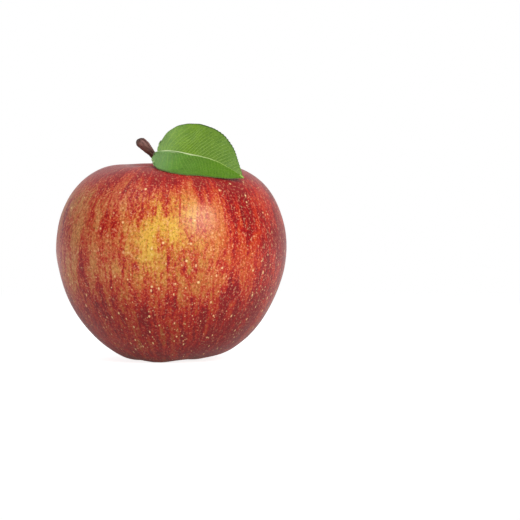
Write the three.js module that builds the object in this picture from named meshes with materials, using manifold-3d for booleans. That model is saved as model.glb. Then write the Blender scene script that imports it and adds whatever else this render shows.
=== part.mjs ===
// A red and gold apple standing on the lobes round its calyx, with its stalk and the one leaf on it.
// Millimetres, +Z up. The origin is on the surface that the apple stands on, under the middle of the
// fruit. The front is -Y, and +X is to the right of it. Azimuths are in degrees from +X towards +Y.
//
// The pieces are those that a picked apple comes apart into: the fruit, the stalk, the leaf with its
// own petiole, and the dry rest of the flower in the eye: five sepals, ten stamens and the styles.

import * as THREE from "three";
import { mergeVertices } from "three/addons/utils/BufferGeometryUtils.js";
import Module from "manifold-3d";

const wasm = await Module();
wasm.setup();

// ---------------------------------------------------------------- driving dimensions

const GAP = 0.3; // left between pieces that grow out of each other

// Fruit
const FRUIT_WIDTH = 79.4; // across its widest part
const FRUIT_HEIGHT = 67.5; // from the surface to the crest of the shoulder
const WIDEST_HEIGHT = 39.5; // where it is widest
const SHOULDER_RADIUS = 17; // of the crest round the stalk cavity
const SHOULDER_POWER = 2.05; // roundness of the upper half: 2 is an ellipse
const FLANK_POWER = 1.88; // roundness of the lower half, which tapers a little straighter
const CAVITY_DEPTH = 17; // of the stalk cavity, below the crest
const FOOT_RADIUS = 8.2; // of the ring of lobes that the apple stands on
const BASIN_DEPTH = 6.5; // of the hollow round the eye, above the surface
const EYE_RADIUS = 2.6; // of the open mouth of the calyx tube
const EYE_DEPTH = 4.5; // of the calyx tube
const LOBES = 5;
const LOBE_AZIMUTH = 34; // of one of the lobes
const LOBE_SWELL = 0.012; // how much further out a lobe stands at the foot, as a share
const LOBE_REACH = 36; // how high up the flank the lobes can still be felt
const FURROW_HEIGHT = 0.9; // of the hollows between the lobes, above the surface
const FURROW_WIDTH = 8; // how far they spread, in and out from the foot
const FOOT_OFFSET = 1; // how far the ring of lobes stands to the left of the middle
const FOOT_OFFSET_REACH = 3.5; // how high up that can be felt
const SHOULDER_RISE = 0.6; // by which one side of the shoulder is higher
const SHOULDER_RISE_AZIMUTH = 100;
const OUT_OF_ROUND = 0.006; // by which the fruit is wider one way than the other, as a share
const OUT_OF_ROUND_AZIMUTH = 20;
const BRUISE_DEPTH = 0.3; // of the small flats that the lobes stand on

// Stalk
const STALK_LENGTH = 31;
const STALK_SEAT = 2.2; // how far it goes down into the flesh
const STALK_FOOT_RADIUS = 1.5;
const STALK_WAIST_RADIUS = 1.1;
const STALK_END_RADIUS = 2.0; // of the knob where it broke off the spur

// Leaf
const LEAF_LENGTH = 32;
const LEAF_WIDTH = 25;
const LEAF_THICKNESS = 0.5;
const LEAF_TEETH = 24; // along each side
const LEAF_TOOTH = 0.35; // how far a tooth stands out
const LEAF_LOBE = 3; // how far the base of the blade reaches back past its petiole
const MIDRIB_RADIUS = 0.5; // of the rib under the blade
const BACK_HALF_ROUNDING = [0.72, 1]; // of its outline at the base and at the tip: less is blunter
const FRONT_HALF_ROUNDING = [0.5, 0.85];
const BACK_HALF_PITCH = 64; // degrees that the half behind the midrib stands up
const FRONT_HALF_PITCH = 29; // degrees that the half in front of it hangs down
const HALF_CURL = 9; // degrees by which each half bends on towards its edge
const PETIOLE_RADIUS = 0.6;
const PETIOLE_ON_STALK = 0.74; // where it leaves the stalk, as a share of the stalk's length

// Calyx
const SEPAL_LENGTH = 5.2;
const SEPAL_THICKNESS = 0.35;
const SEPAL_LEAN = 0.3; // how far the sepals lean in over the stamens before they curl back
const STAMENS = 10;
const STAMEN_LENGTH = 4.2;
const STAMEN_RADIUS = 0.14;
const ANTHER_RADIUS = 0.26;
const STAMEN_LEAN = 0.1; // how far a stamen's end leans in towards the styles
const STYLES_LENGTH = 4.6;

// ---------------------------------------------------------------- small helpers

const radians = THREE.MathUtils.degToRad;
const clamp = THREE.MathUtils.clamp;
const smoothstep = THREE.MathUtils.smoothstep;
const lerp = THREE.MathUtils.lerp;

/** A point of a quarter superellipse that goes from (0, 1) at step 0 to (1, 0) at step 1. */
function quarter(step, power) {
  const angle = (step * Math.PI) / 2;
  return [Math.sin(angle) ** (2 / power), Math.cos(angle) ** (2 / power)];
}

/** Merges a geometry's shared vertices, so that it is one closed surface. */
function closed(geometry) {
  geometry.deleteAttribute("normal");
  geometry.deleteAttribute("uv");
  return mergeVertices(geometry, 1e-4);
}

/** Moves every vertex of a geometry to where `place(vertex)` says. */
function reshaped(geometry, place) {
  const position = geometry.getAttribute("position");
  for (let i = 0; i < position.count; i++) {
    const moved = place(new THREE.Vector3().fromBufferAttribute(position, i));
    position.setXYZ(i, moved.x, moved.y, moved.z);
  }
  return closed(geometry);
}

/** A profile of [radius, height] points turned about +Z. */
function turned(profile, segments) {
  const points = profile.map(([radius, height]) => new THREE.Vector2(radius, height));
  return new THREE.LatheGeometry(points, segments).rotateX(Math.PI / 2);
}

/** Bends a geometry that stands on +Z, from height 0 to 1, along a curve. Radii stay as they are. */
function bentAlong(geometry, curve, segments = 24) {
  const { normals, binormals } = curve.computeFrenetFrames(segments);
  return reshaped(geometry, ({ x, y, z }) => {
    const share = clamp(z, 0, 1);
    const near = Math.min(Math.floor(share * segments), segments - 1);
    const across = (vectors) =>
      vectors[near].clone().lerp(vectors[near + 1], share * segments - near).normalize();
    return curve
      .getPointAt(share)
      .addScaledVector(across(normals), x)
      .addScaledVector(across(binormals), y);
  });
}

/** The first `length` millimetres of a curve through points, as a curve of its own. */
function startOf(points, length, steps = 12) {
  const whole = new THREE.CatmullRomCurve3(points, false, "centripetal");
  const share = Math.min(length / whole.getLength(), 1);
  const kept = Array.from({ length: steps + 1 }, (_, i) => whole.getPointAt((share * i) / steps));
  return new THREE.CatmullRomCurve3(kept, false, "centripetal");
}

function solidOf(geometry) {
  return new wasm.Manifold(
    new wasm.Mesh({
      numProp: 3,
      vertProperties: geometry.getAttribute("position").array,
      triVerts: new Uint32Array(geometry.index.array),
    }),
  );
}

function geometryOf(solid) {
  const { vertProperties, triVerts } = solid.getMesh();
  return new THREE.BufferGeometry()
    .setAttribute("position", new THREE.BufferAttribute(vertProperties, 3))
    .setIndex(new THREE.BufferAttribute(triVerts, 1));
}

function coloured(color, roughness) {
  return new THREE.MeshStandardMaterial({ color, roughness, metalness: 0 });
}

const skinFinish = coloured(0xb04a2c, 0.35);
const stalkFinish = coloured(0x6e4a40, 0.8);
const leafFinish = coloured(0x6f9438, 0.5);
const dryFinish = coloured(0x4a382a, 0.9);

const apple = new THREE.Group();

function addPiece(name, geometry, material) {
  const piece = new THREE.Mesh(geometry, material);
  piece.name = name;
  apple.add(piece);
}

// ---------------------------------------------------------------- fruit
// One solid, turned from its half section and then lobed. It has a deep cavity at the stalk, and a
// shallow basin at the other end, with the open calyx tube in its middle.

const CAVITY_FLOOR = FRUIT_HEIGHT - CAVITY_DEPTH;
const SOCKET_RADIUS = STALK_FOOT_RADIUS + GAP;
const FRUIT_SEGMENTS = 60;

function fruitProfile() {
  const profile = [];
  const reach = FRUIT_WIDTH / 2;

  // Calyx tube, from its narrow inner end on the axis out to its mouth.
  const tubeTop = BASIN_DEPTH + EYE_DEPTH;
  profile.push([0, tubeTop], [EYE_RADIUS * 0.5, tubeTop - EYE_DEPTH * 0.15]);
  profile.push([EYE_RADIUS * 0.85, BASIN_DEPTH + EYE_DEPTH * 0.45]);

  // Basin, from the mouth down and out to the foot.
  const BASIN_STEPS = 6;
  for (let i = 0; i < BASIN_STEPS; i++) {
    const inward = 1 - i / BASIN_STEPS;
    const radius = lerp(FOOT_RADIUS, EYE_RADIUS, inward);
    profile.push([radius, BASIN_DEPTH * (1 - Math.cos((inward * Math.PI) / 2))]);
  }

  // Flank, from the foot up to the widest part. Its steps start out short, for the flats.
  const FLANK_STEPS = 14;
  for (let i = 0; i < FLANK_STEPS; i++) {
    const [out, down] = quarter((i / FLANK_STEPS) ** 1.2, FLANK_POWER);
    profile.push([lerp(FOOT_RADIUS, reach, out), WIDEST_HEIGHT * (1 - down)]);
  }

  // Shoulder, from the widest part up and in to the crest.
  const SHOULDER_STEPS = 9;
  for (let i = 0; i < SHOULDER_STEPS; i++) {
    const [up, out] = quarter(i / SHOULDER_STEPS, SHOULDER_POWER);
    profile.push([lerp(SHOULDER_RADIUS, reach, out), lerp(WIDEST_HEIGHT, FRUIT_HEIGHT, up)]);
  }

  // Stalk cavity, from the crest down to its floor, and the socket that the stalk grows from.
  const CAVITY_STEPS = 8;
  for (let i = 0; i <= CAVITY_STEPS; i++) {
    const out = 1 - i / CAVITY_STEPS;
    const radius = lerp(SOCKET_RADIUS, SHOULDER_RADIUS, out);
    profile.push([radius, CAVITY_FLOOR + CAVITY_DEPTH * Math.sin((out * Math.PI) / 2) ** 0.85]);
  }
  profile.push([SOCKET_RADIUS, CAVITY_FLOOR - STALK_SEAT], [0, CAVITY_FLOOR - STALK_SEAT]);
  return profile;
}

/** Gives the turned fruit its lobes, its uneven shoulder and the flats that it stands on. */
function lobed({ x, y, z }) {
  const radius = Math.hypot(x, y);
  const azimuth = Math.atan2(y, x);
  const onLobe = Math.cos(LOBES * (azimuth - radians(LOBE_AZIMUTH)));
  const low = clamp(1 - z / LOBE_REACH, 0, 1) ** 2;
  const high = clamp((z - WIDEST_HEIGHT) / (FRUIT_HEIGHT - WIDEST_HEIGHT), 0, 1) ** 2;
  const offAxis = smoothstep(radius, 0, FOOT_RADIUS);

  const swell = LOBE_SWELL * onLobe * low * offAxis;
  const wider = OUT_OF_ROUND * Math.cos(2 * (azimuth - radians(OUT_OF_ROUND_AZIMUTH)));
  const grow = 1 + swell + wider * smoothstep(radius, SHOULDER_RADIUS, FRUIT_WIDTH / 2);

  const atFoot = Math.exp(-(((radius - FOOT_RADIUS) / FURROW_WIDTH) ** 2)) * low * offAxis;
  const furrow = ((FURROW_HEIGHT * (1 - onLobe)) / 2) * atFoot;
  const rise = SHOULDER_RISE * Math.cos(azimuth - radians(SHOULDER_RISE_AZIMUTH));
  const uneven = rise * high * smoothstep(radius, 0, SHOULDER_RADIUS);
  const height = z + furrow + uneven - BRUISE_DEPTH * low;
  const offset = FOOT_OFFSET * Math.exp(-((z / FOOT_OFFSET_REACH) ** 2));
  return new THREE.Vector3(x * grow - offset, y * grow, Math.max(height, 0));
}

addPiece("fruit", reshaped(turned(fruitProfile(), FRUIT_SEGMENTS), lobed), skinFinish);

/** Height of the skin of the shoulder, and of a level lid over the cavity, at a radius. */
function shoulderHeight(radius, clearance) {
  const reach = FRUIT_WIDTH / 2 + clearance - SHOULDER_RADIUS;
  const out = clamp((radius - SHOULDER_RADIUS) / reach, 0, 1);
  const rise = FRUIT_HEIGHT + clearance - WIDEST_HEIGHT;
  return WIDEST_HEIGHT + rise * (1 - out ** SHOULDER_POWER) ** (1 / SHOULDER_POWER);
}

// ---------------------------------------------------------------- stalk
// A woody stalk that stands up out of the cavity, leans over to the left and ends in the knob where
// it broke off the spur.

const STALK_ROUTE = [
  [0, 0, GAP - STALK_SEAT],
  [0, 0, 1],
  [-0.5, -0.2, 6],
  [-2.3, -0.8, 13.5],
  [-5.6, -1.7, 20],
  [-9.4, -2.6, 24.6],
  [-14.4, -3.8, 29.4],
].map(([x, y, up]) => new THREE.Vector3(x, y, CAVITY_FLOOR + up));
const stalkLine = startOf(STALK_ROUTE, STALK_LENGTH);

/** Radius of the stalk at a share of its length: a wide foot, a waist and the knob at its end. */
function stalkRadius(share) {
  const foot = (STALK_FOOT_RADIUS - STALK_WAIST_RADIUS) * (1 - smoothstep(share, 0.04, 0.3));
  const knob = (STALK_END_RADIUS - STALK_WAIST_RADIUS) * smoothstep(share, 0.68, 1) ** 1.2;
  return STALK_WAIST_RADIUS + foot + knob;
}

function stalkProfile() {
  const STEPS = 18;
  const profile = [[0, 0]];
  for (let i = 0; i < STEPS; i++) {
    const share = (0.97 * i) / (STEPS - 1);
    profile.push([stalkRadius(share), share]);
  }
  profile.push([STALK_END_RADIUS * 0.86, 0.99], [STALK_END_RADIUS * 0.5, 1], [0, 1]);
  return profile;
}

addPiece("stalk", bentAlong(turned(stalkProfile(), 14), stalkLine), stalkFinish);

// ---------------------------------------------------------------- leaf
// The blade springs from the stalk on a short petiole, crosses the crest of the shoulder and lies
// over its front right side. It is folded a little along the midrib: the half behind it stands up
// and the half in front hangs down over the skin.

/** A point over the skin: `out` is 0 at the crest of the shoulder and 1 at the widest part. */
function overSkin(azimuth, out, lift) {
  const radius = lerp(SHOULDER_RADIUS, FRUIT_WIDTH / 2, out);
  const angle = radians(azimuth);
  return new THREE.Vector3(
    radius * Math.cos(angle),
    radius * Math.sin(angle),
    shoulderHeight(radius, 0) + lift,
  );
}

const MIDRIB_ROUTE = [
  [-109, -0.1, 5.1],
  [-93, -0.07, 5.4],
  [-82, -0.03, 4.9],
  [-71, 0.05, 3.8],
  [-60, 0.18, 3.1],
  [-53, 0.33, 2.8],
  [-47, 0.5, 2.4],
  [-41, 0.69, 2.6],
  [-36, 0.84, 2.8],
].map(([azimuth, out, lift]) => overSkin(azimuth, out, lift));
const midribLine = startOf(MIDRIB_ROUTE, LEAF_LENGTH);

/** Width of half the blade at a share of its length, before its teeth. */
function halfBlade(share, [base, tip]) {
  const NARROWEST = 0.3;
  const widest = base / (base + tip);
  const shape = (at) => at ** base * (1 - at) ** tip;
  return Math.max(((LEAF_WIDTH / 2) * shape(share)) / shape(widest), NARROWEST);
}

const STEPS_PER_TOOTH = 2;
const BLADE_STEPS = LEAF_TEETH * STEPS_PER_TOOTH;
const SKIN_TO_BLADE = GAP + LEAF_THICKNESS;

/** Middle of the blade's thickness: `share` runs from base to tip and `side` from -1 at the front
 * edge, through 0 on the midrib, to 1 at the back edge. */
function bladePoint(share, side) {
  const at = clamp(share, 0, 1);
  const point = midribLine.getPointAt(at);
  const along = midribLine.getTangentAt(at);
  const back = new THREE.Vector3(0, 0, 1).cross(along).normalize();
  const up = along.clone().cross(back);

  const away = Math.abs(side);
  const fall = side > 0 ? BACK_HALF_PITCH - HALF_CURL * away : -FRONT_HALF_PITCH - HALF_CURL * away;
  const pitch = radians(fall);
  const tooth = LEAF_TOOTH * away ** 6 * (Math.round(at * BLADE_STEPS) % STEPS_PER_TOOTH);
  const width = halfBlade(at, side > 0 ? BACK_HALF_ROUNDING : FRONT_HALF_ROUNDING);
  const reach = width * away + tooth * smoothstep(at, 0.04, 0.2);
  const backward = (1 - smoothstep(at, 0, 0.45)) * Math.sqrt(width / LEAF_WIDTH);
  const lobe = LEAF_LOBE * away * backward * (side < 0 ? 1 : 0.45);
  point
    .addScaledVector(back, Math.sign(side) * Math.cos(pitch) * reach)
    .addScaledVector(up, Math.sin(pitch) * reach)
    .addScaledVector(along, -lobe);

  const resting = shoulderHeight(Math.hypot(point.x, point.y), SKIN_TO_BLADE);
  point.z = Math.max(point.z, resting);
  return point;
}

/** Direction out of the blade's upper face. */
function bladeNormal(share, side) {
  const STEP = 0.02;
  const along = bladePoint(share + STEP, side).sub(bladePoint(share - STEP, side));
  const across = bladePoint(share, side + STEP).sub(bladePoint(share, side - STEP));
  return along.cross(across).normalize();
}

function bladeGeometry() {
  const ACROSS = 12;
  const block = new THREE.BoxGeometry(1, 2, 1, BLADE_STEPS, ACROSS, 1);
  return reshaped(block, ({ x, y, z }) => {
    const share = x + 0.5;
    const rib = MIDRIB_RADIUS * Math.exp(-((y * 6) ** 2)) * (1 - share * 0.7);
    const depth = z > 0 ? LEAF_THICKNESS / 2 : -LEAF_THICKNESS / 2 - rib;
    const inset = clamp(share, 0.02, 0.98);
    return bladePoint(share, y).addScaledVector(bladeNormal(inset, y * 0.95), depth);
  });
}

function petioleGeometry() {
  const onStalk = stalkLine.getPointAt(PETIOLE_ON_STALK);
  const forward = new THREE.Vector3(0.25, -1, 0.1).normalize();
  const bark = stalkRadius(PETIOLE_ON_STALK) + GAP + 0.2;
  const start = onStalk.clone().addScaledVector(forward, bark);
  const base = midribLine.getPointAt(0.05);
  const middle = start.clone().lerp(base, 0.5).add(new THREE.Vector3(-0.3, 0, -0.5));
  const line = new THREE.CatmullRomCurve3([start, middle, base], false, "centripetal");
  const STEPS = 8;
  const profile = [[0, 0]];
  for (let i = 0; i <= STEPS; i++) profile.push([PETIOLE_RADIUS, i / STEPS]);
  profile.push([0, 1]);
  return bentAlong(turned(profile, 10), line, STEPS);
}

const leafSolid = solidOf(bladeGeometry()).add(solidOf(petioleGeometry()));
addPiece("leaf", geometryOf(leafSolid), leafFinish);

// ---------------------------------------------------------------- calyx
// What is left of the flower, dry in the mouth of the calyx tube: five sepals that lean together and
// then curl back at their tips, a ring of stamens inside them, and the styles in the middle.

const SEPALS = 5;
const SEPAL_RING = EYE_RADIUS - GAP - SEPAL_THICKNESS / 2;
const SEPAL_TIP = 0.12; // half the width of its tip

/** Half the width that a sepal has room for when its middle is this far from the axis. */
function sepalRoom(radius) {
  return (radius - SEPAL_THICKNESS) * Math.tan(Math.PI / SEPALS) - GAP;
}

function sepalGeometry(azimuth) {
  const points = [
    [0, 0],
    [0.1, 0.2],
    [-SEPAL_LEAN, 0.45],
    [-SEPAL_LEAN / 2, 0.68],
    [SEPAL_LENGTH * 0.22, 0.84],
  ].map(([out, down]) => {
    return new THREE.Vector3(SEPAL_RING + out, 0, BASIN_DEPTH - SEPAL_LENGTH * down);
  });
  const line = new THREE.CatmullRomCurve3(points, false, "centripetal");
  const block = new THREE.BoxGeometry(1, 2, 1, 8, 4, 1);
  const turn = new THREE.Matrix4().makeRotationZ(radians(azimuth));
  return reshaped(block, ({ x, y, z }) => {
    const share = x + 0.5;
    const point = line.getPointAt(share);
    const along = line.getTangentAt(share);
    const outward = new THREE.Vector3(-along.z, 0, along.x);
    const tapered = lerp(sepalRoom(SEPAL_RING), SEPAL_TIP, share ** 1.4);
    const halfWidth = Math.min(tapered, sepalRoom(point.x));
    const cupped = -0.25 * y * y * halfWidth;
    point.addScaledVector(outward, z * SEPAL_THICKNESS + cupped);
    point.y += y * halfWidth;
    return point.applyMatrix4(turn);
  });
}

for (let i = 0; i < SEPALS; i++) {
  const azimuth = LOBE_AZIMUTH + 36 + (360 / SEPALS) * i;
  addPiece(`sepal_${i + 1}`, sepalGeometry(azimuth), dryFinish);
}

/** A thin thread with a swollen end, from the tube's wall down towards the mouth. */
function threadGeometry(points, radius, endRadius) {
  const profile = [
    [0, 0],
    [radius, 0],
    [radius, 0.4],
    [radius, 0.78],
    [endRadius, 0.86],
    [endRadius, 0.94],
    [0, 1],
  ];
  const line = new THREE.CatmullRomCurve3(points, false, "centripetal");
  return bentAlong(turned(profile, 6), line, 10);
}

const STAMEN_RING = SEPAL_RING - SEPAL_LEAN - SEPAL_THICKNESS / 2 - GAP - ANTHER_RADIUS;
const STYLES_RADIUS = STAMEN_RING - STAMEN_LEAN - ANTHER_RADIUS - GAP;

for (let i = 0; i < STAMENS; i++) {
  const azimuth = radians((360 / STAMENS) * i + 9);
  const top = BASIN_DEPTH + EYE_DEPTH * 0.38;
  const reach = STAMEN_LENGTH * (i % 2 ? 0.82 : 1);
  const ringPoint = (radius, height, turn) =>
    new THREE.Vector3(radius * Math.cos(azimuth + turn), radius * Math.sin(azimuth + turn), height);
  const points = [
    ringPoint(STAMEN_RING, top, 0),
    ringPoint(STAMEN_RING, top - reach * 0.5, 0.03),
    ringPoint(STAMEN_RING - STAMEN_LEAN, top - reach, 0.06),
  ];
  addPiece(`stamen_${i + 1}`, threadGeometry(points, STAMEN_RADIUS, ANTHER_RADIUS), dryFinish);
}

const stylesTop = BASIN_DEPTH + EYE_DEPTH * 0.55;
const stylesLine = [0, 0.5, 1].map(
  (share) => new THREE.Vector3(0, 0, stylesTop - STYLES_LENGTH * share),
);
addPiece("styles", threadGeometry(stylesLine, STYLES_RADIUS * 0.6, STYLES_RADIUS), dryFinish);

export default apple;
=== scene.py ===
import math

import bmesh
import bpy
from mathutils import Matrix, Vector


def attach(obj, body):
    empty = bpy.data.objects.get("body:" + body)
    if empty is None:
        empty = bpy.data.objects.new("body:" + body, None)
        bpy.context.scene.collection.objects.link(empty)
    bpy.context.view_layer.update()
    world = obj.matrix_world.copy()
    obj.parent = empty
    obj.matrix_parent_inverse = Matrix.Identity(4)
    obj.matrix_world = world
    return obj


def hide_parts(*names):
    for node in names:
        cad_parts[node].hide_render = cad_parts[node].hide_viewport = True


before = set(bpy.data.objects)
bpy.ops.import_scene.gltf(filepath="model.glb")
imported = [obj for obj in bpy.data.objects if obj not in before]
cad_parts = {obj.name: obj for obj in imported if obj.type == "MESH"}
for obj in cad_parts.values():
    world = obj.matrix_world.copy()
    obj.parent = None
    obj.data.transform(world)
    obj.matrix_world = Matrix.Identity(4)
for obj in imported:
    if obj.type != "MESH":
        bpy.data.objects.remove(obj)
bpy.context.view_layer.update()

bpy.ops.object.select_all(action="DESELECT")

# ------------------------------------------------------------ studio
# A white light tent. The camera has a long lens, almost level with the table, and
# is turned a little to the right of the apple. A wide soft box stands to the front right.

CAMERA_DISTANCE = 0.9
CAMERA_ELEVATION = math.radians(2.5)
CAMERA_AIM = Vector((0.0306, 0.0, 0.0345))
TENT_LIGHT = 0.20  # of the white cloth at the front
TENT_GLOW = 0.70  # of the cloth behind the apple, which is lit from outside
TENT_TURNS = (0.1, 0.95)  # how far to the back, as shares, the one turns into the other
LIGHT_AIM = Vector((0, 0, 0.04))  # the middle of the apple
WHITE = (1.0, 1.0, 1.0, 1.0)

scene = bpy.context.scene
scene.view_settings.view_transform = "Standard"
scene.view_settings.look = "None"


def node(tree, kind, inputs=None, **settings):
    """Adds a shader node, with its settings and inputs: values or other nodes' outputs."""
    made = tree.nodes.new("ShaderNode" + kind)
    for name, value in settings.items():
        setattr(made, name, value)
    for key, value in (inputs or {}).items():
        if isinstance(value, bpy.types.NodeSocket):
            tree.links.new(value, made.inputs[key])
        else:
            made.inputs[key].default_value = value
    return made


def ease(tree, value, low, high, start=0.0, end=1.0):
    """Goes smoothly from start to end while value goes from low to high."""
    made = node(
        tree,
        "MapRange",
        {"Value": value, "From Min": low, "From Max": high, "To Min": start, "To Max": end},
        interpolation_type="SMOOTHSTEP",
    )
    return made.outputs[0]


lens = bpy.data.cameras.new("camera")
lens.lens, lens.sensor_width = 180, 36
lens.clip_start, lens.clip_end = 0.05, 20
camera = bpy.data.objects.new("camera", lens)
scene.collection.objects.link(camera)
camera.location = (
    0,
    -CAMERA_DISTANCE * math.cos(CAMERA_ELEVATION),
    CAMERA_AIM.z + CAMERA_DISTANCE * math.sin(CAMERA_ELEVATION),
)
camera.rotation_euler = (CAMERA_AIM - camera.location).to_track_quat("-Z", "Y").to_euler()
scene.camera = camera

tent = bpy.data.worlds.new("tent")
tent.use_nodes = True
tent.node_tree.nodes.clear()
seen = node(tent.node_tree, "LightPath")
towards = node(tent.node_tree, "TexCoord").outputs["Generated"]
backwards = node(tent.node_tree, "SeparateXYZ", {0: towards}).outputs["Y"]
behind = ease(tent.node_tree, backwards, *TENT_TURNS, TENT_LIGHT, TENT_GLOW)
cloth = node(tent.node_tree, "Background", {"Color": WHITE, "Strength": behind})
backdrop = node(tent.node_tree, "Background", {"Color": WHITE, "Strength": 1.0})
either = node(
    tent.node_tree,
    "MixShader",
    {0: seen.outputs["Is Camera Ray"], 1: cloth.outputs[0], 2: backdrop.outputs[0]},
)
node(tent.node_tree, "OutputWorld", {"Surface": either.outputs[0]})
scene.world = tent


def soft_box(name, towards, distance, size, watts):
    """A square soft light that faces the middle of the apple from one side."""
    lamp = bpy.data.lights.new(name, "AREA")
    lamp.size, lamp.energy = size, watts
    box = bpy.data.objects.new(name, lamp)
    scene.collection.objects.link(box)
    box.location = LIGHT_AIM + Vector(towards).normalized() * distance
    box.rotation_euler = Vector(towards).to_track_quat("Z", "Y").to_euler()


soft_box("key_box", (0.42, -0.74, 0.5), distance=0.8, size=0.4, watts=4.8)
soft_box("top_box", (-0.45, -0.25, 0.9), distance=0.9, size=0.6, watts=1.4)

# ------------------------------------------------------------ table
# A round sheet of white card, as white as the tent further off. From below it is clear, so
# that the underside of the apple can be looked at where it stands.

TABLE_RADIUS = 1.5
CARD_TONE = 0.7  # share of the light that the card throws back
CARD_GLOW = 0.15  # it is lit from below as well, as a light table is
CARD_GLOW_SEEN = 0.71  # and this much more of that, which only the camera sees
CARD_FADES = (0.1, 0.42)  # how far off it starts to be as white as the tent, and is

bpy.ops.mesh.primitive_circle_add(vertices=96, radius=TABLE_RADIUS, fill_type="TRIFAN")
table = bpy.context.object
table.name = "table"
bpy.ops.object.mode_set(mode="EDIT")
bpy.ops.mesh.subdivide(number_cuts=2)
bpy.ops.object.mode_set(mode="OBJECT")

card = bpy.data.materials.new("white_card")
card.use_nodes = True
tree = card.node_tree
tree.nodes.clear()
place = node(tree, "TexCoord").outputs["Object"]
far = node(tree, "VectorMath", {0: place}, operation="LENGTH").outputs["Value"]
blend = ease(tree, far, *CARD_FADES)
matt = node(tree, "BsdfDiffuse", {"Color": (CARD_TONE, CARD_TONE, CARD_TONE, 1)})
seen = node(tree, "LightPath").outputs["Is Camera Ray"]
shares = {0: seen, 1: CARD_GLOW_SEEN, 2: CARD_GLOW}
lit = node(tree, "Math", shares, operation="MULTIPLY_ADD").outputs[0]
under = node(tree, "Emission", {"Color": WHITE, "Strength": lit})
near = node(tree, "AddShader", {0: matt.outputs[0], 1: under.outputs[0]})
glow = node(tree, "Emission", {"Color": WHITE, "Strength": 1.0})
top = node(tree, "MixShader", {0: blend, 1: near.outputs[0], 2: glow.outputs[0]})
from_below = node(tree, "NewGeometry").outputs["Backfacing"]
clear = node(tree, "BsdfTransparent", {"Color": WHITE})
sheet = node(tree, "MixShader", {0: from_below, 1: top.outputs[0], 2: clear.outputs[0]})
node(tree, "OutputMaterial", {"Surface": sheet.outputs[0]})
table.data.materials.append(card)

# ------------------------------------------------------------ fruit
# One sound apple, red over gold, that stands on the five lobes round its eye. The flesh is
# firm under a thin waxed skin, so the form is full, with a deep stalk cavity and a basin.

RING = 40  # vertices round the fruit
HALF_WIDTH = 0.0397
WIDEST_HEIGHT = 0.0395
CREST_HEIGHT = 0.0675
CREST_RADIUS = 0.017  # of the crest of the shoulder, round the stalk cavity
SHOULDER_POWER = 2.05  # roundness of the upper half: 2 is an ellipse
FLANK_POWER = 1.83  # of the lower half, which tapers a little straighter
CAVITY_FLOOR = 0.0505
CAVITY_DEPTH = 0.017
SOCKET_RADIUS = 0.0018  # of the hole in the cavity's floor that the stalk grows out of
FOOT_RADIUS = 0.0082  # of the ring of lobes
BASIN_DEPTH = 0.0065
EYE_RADIUS = 0.0026
LOBE_AZIMUTHS = [math.radians(34 + 72 * i) for i in range(5)]
GAP_RADIUS = 0.014  # where the gaps between the lobes run out
BASIN_RINGS, FLANK_RINGS, SHOULDER_RINGS, CAVITY_RINGS = 6, 14, 9, 8


def quarter(step, power):
    """A point of a quarter of a full round, from (0, 1) at step 0 to (1, 0) at step 1."""
    angle = step * math.pi / 2
    return math.sin(angle) ** (2 / power), math.cos(angle) ** (2 / power)


def between(low, high, share):
    return low + (high - low) * share


def pick(wanted):
    """Selects the vertices of the piece in edit mode that are where wanted says."""
    mesh = bmesh.from_edit_mesh(bpy.context.edit_object.data)
    mesh.select_mode = {"VERT"}
    for vertex in mesh.verts:
        vertex.select = bool(wanted(vertex.co))
    mesh.select_flush_mode()
    bmesh.update_edit_mesh(bpy.context.edit_object.data)


def push(reach, value):
    """Moves what is selected, and what lies within reach of it by less."""
    bpy.ops.transform.translate(
        value=value,
        use_proportional_edit=True,
        proportional_edit_falloff="SMOOTH",
        proportional_size=reach,
    )


def swell(spot, within, reach, value, below=math.inf):
    """Pushes the skin within a distance of a spot, and that within reach by less."""
    pick(lambda place: (place - Vector(spot)).length < within and place.z < below)
    push(reach, value)


def turned_form(profile, count):
    """Draws a closed form from a circle, ring by ring, through points (radius, height)."""
    scene.tool_settings.mesh_select_mode = (True, False, False)
    bpy.ops.mesh.primitive_circle_add(
        vertices=count, radius=profile[0][0], location=(0, 0, 0), fill_type="NGON"
    )
    bpy.ops.object.mode_set(mode="EDIT")
    bpy.ops.transform.translate(value=(0, 0, profile[0][1]))
    for (radius, height), (wider, higher) in zip(profile, profile[1:]):
        rise = {"value": (0, 0, higher - height)}
        bpy.ops.mesh.extrude_region_move(TRANSFORM_OT_translate=rise)
        share = wider / radius
        bpy.ops.transform.resize(value=(share, share, 1), center_override=(0, 0, higher))
    bpy.ops.mesh.select_all(action="SELECT")
    bpy.ops.mesh.normals_make_consistent(inside=False)
    return bpy.context.object


def finish_with(piece, kind, **settings):
    """Adds a modifier to a piece and applies it."""
    modifier = piece.modifiers.new(kind.lower(), kind)
    for name, value in settings.items():
        setattr(modifier, name, value)
    bpy.context.view_layer.objects.active = piece
    bpy.ops.object.modifier_apply(modifier=modifier.name)


def rounded(piece, level):
    finish_with(piece, "SUBSURF", levels=level, render_levels=level)


def select_only(*pieces):
    """Selects these pieces, with the first of them active."""
    bpy.ops.object.select_all(action="DESELECT")
    for piece in pieces:
        piece.select_set(True)
    bpy.context.view_layer.objects.active = pieces[0]


def smooth(piece, degrees=50):
    select_only(piece)
    bpy.ops.object.shade_smooth_by_angle(angle=math.radians(degrees))
    bpy.ops.object.select_all(action="DESELECT")


def lumpy(piece, name, size, depth, strength):
    """Displaces a piece's surface by soft random lumps of one size."""
    lumps = bpy.data.textures.new(name, "CLOUDS")
    lumps.noise_scale, lumps.noise_depth = size, depth
    finish_with(
        piece,
        "DISPLACE",
        texture=lumps,
        texture_coords="LOCAL",
        strength=strength,
        mid_level=0.5,
    )


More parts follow.
